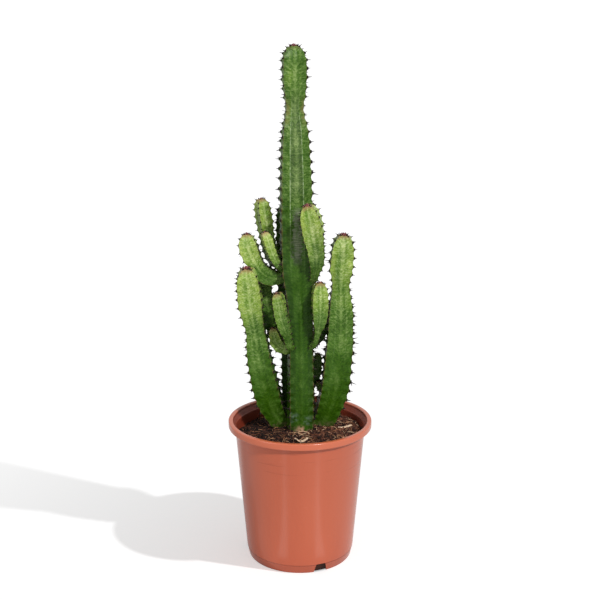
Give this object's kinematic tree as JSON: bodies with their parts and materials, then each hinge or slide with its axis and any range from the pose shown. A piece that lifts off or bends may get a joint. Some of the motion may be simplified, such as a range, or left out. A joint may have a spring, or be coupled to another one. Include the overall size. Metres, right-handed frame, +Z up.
{
  "type": "potted euphorbia",
  "caption": "Branching four-ribbed columnar succulent with upright side stems and shoots, rooted in soil in a round tapered plastic nursery pot.",
  "frame": {"origin": "centre of the pot's underside, on the surface it stands on", "axes": "+Z up along the pot's axis, -Y the plant's front, +X its right as seen from the front"},
  "size_m": [0.21, 0.21, 0.7493],
  "materials": {
    "pot_plastic": "satin",
    "potting_soil": "matte",
    "mature_skin": "satin",
    "young_skin": "satin",
    "bud_leaf": "matte",
    "wood_chip": "matte",
    "spine": "matte"
  },
  "bodies": {
    "root": {"pot": "pot_plastic", "soil": "potting_soil", "main_stem": "mature_skin", "left_stem": "mature_skin", "right_stem": "mature_skin", "back_stem": "mature_skin", "left_elbow_branch": "young_skin", "upper_left_branch": "young_skin", "left_slim_branch": "young_skin", "right_upper_branch": "young_skin", "right_mid_branch": "young_skin", "front_left_branch": "young_skin", "back_left_branch": "young_skin", "lower_left_shoot": "young_skin", "back_right_branch": "young_skin", "back_right_shoot": "young_skin", "right_inner_shoot": "young_skin", "main_stem_bud": "bud_leaf", "left_stem_bud": "bud_leaf", "right_stem_bud": "bud_leaf", "back_stem_bud": "bud_leaf", "left_elbow_branch_bud": "bud_leaf", "upper_left_branch_bud": "bud_leaf", "left_slim_branch_bud": "bud_leaf", "right_upper_branch_bud": "bud_leaf", "right_mid_branch_bud": "bud_leaf", "front_left_branch_bud": "bud_leaf", "back_left_branch_bud": "bud_leaf", "lower_left_shoot_bud": "bud_leaf", "back_right_branch_bud": "bud_leaf", "back_right_shoot_bud": "bud_leaf", "right_inner_shoot_bud": "bud_leaf", "front_wood_chip": "wood_chip", "right_wood_chip": "wood_chip", "left_wood_chip": "wood_chip", "back_wood_chip": "wood_chip"}
  },
  "joints": []
}
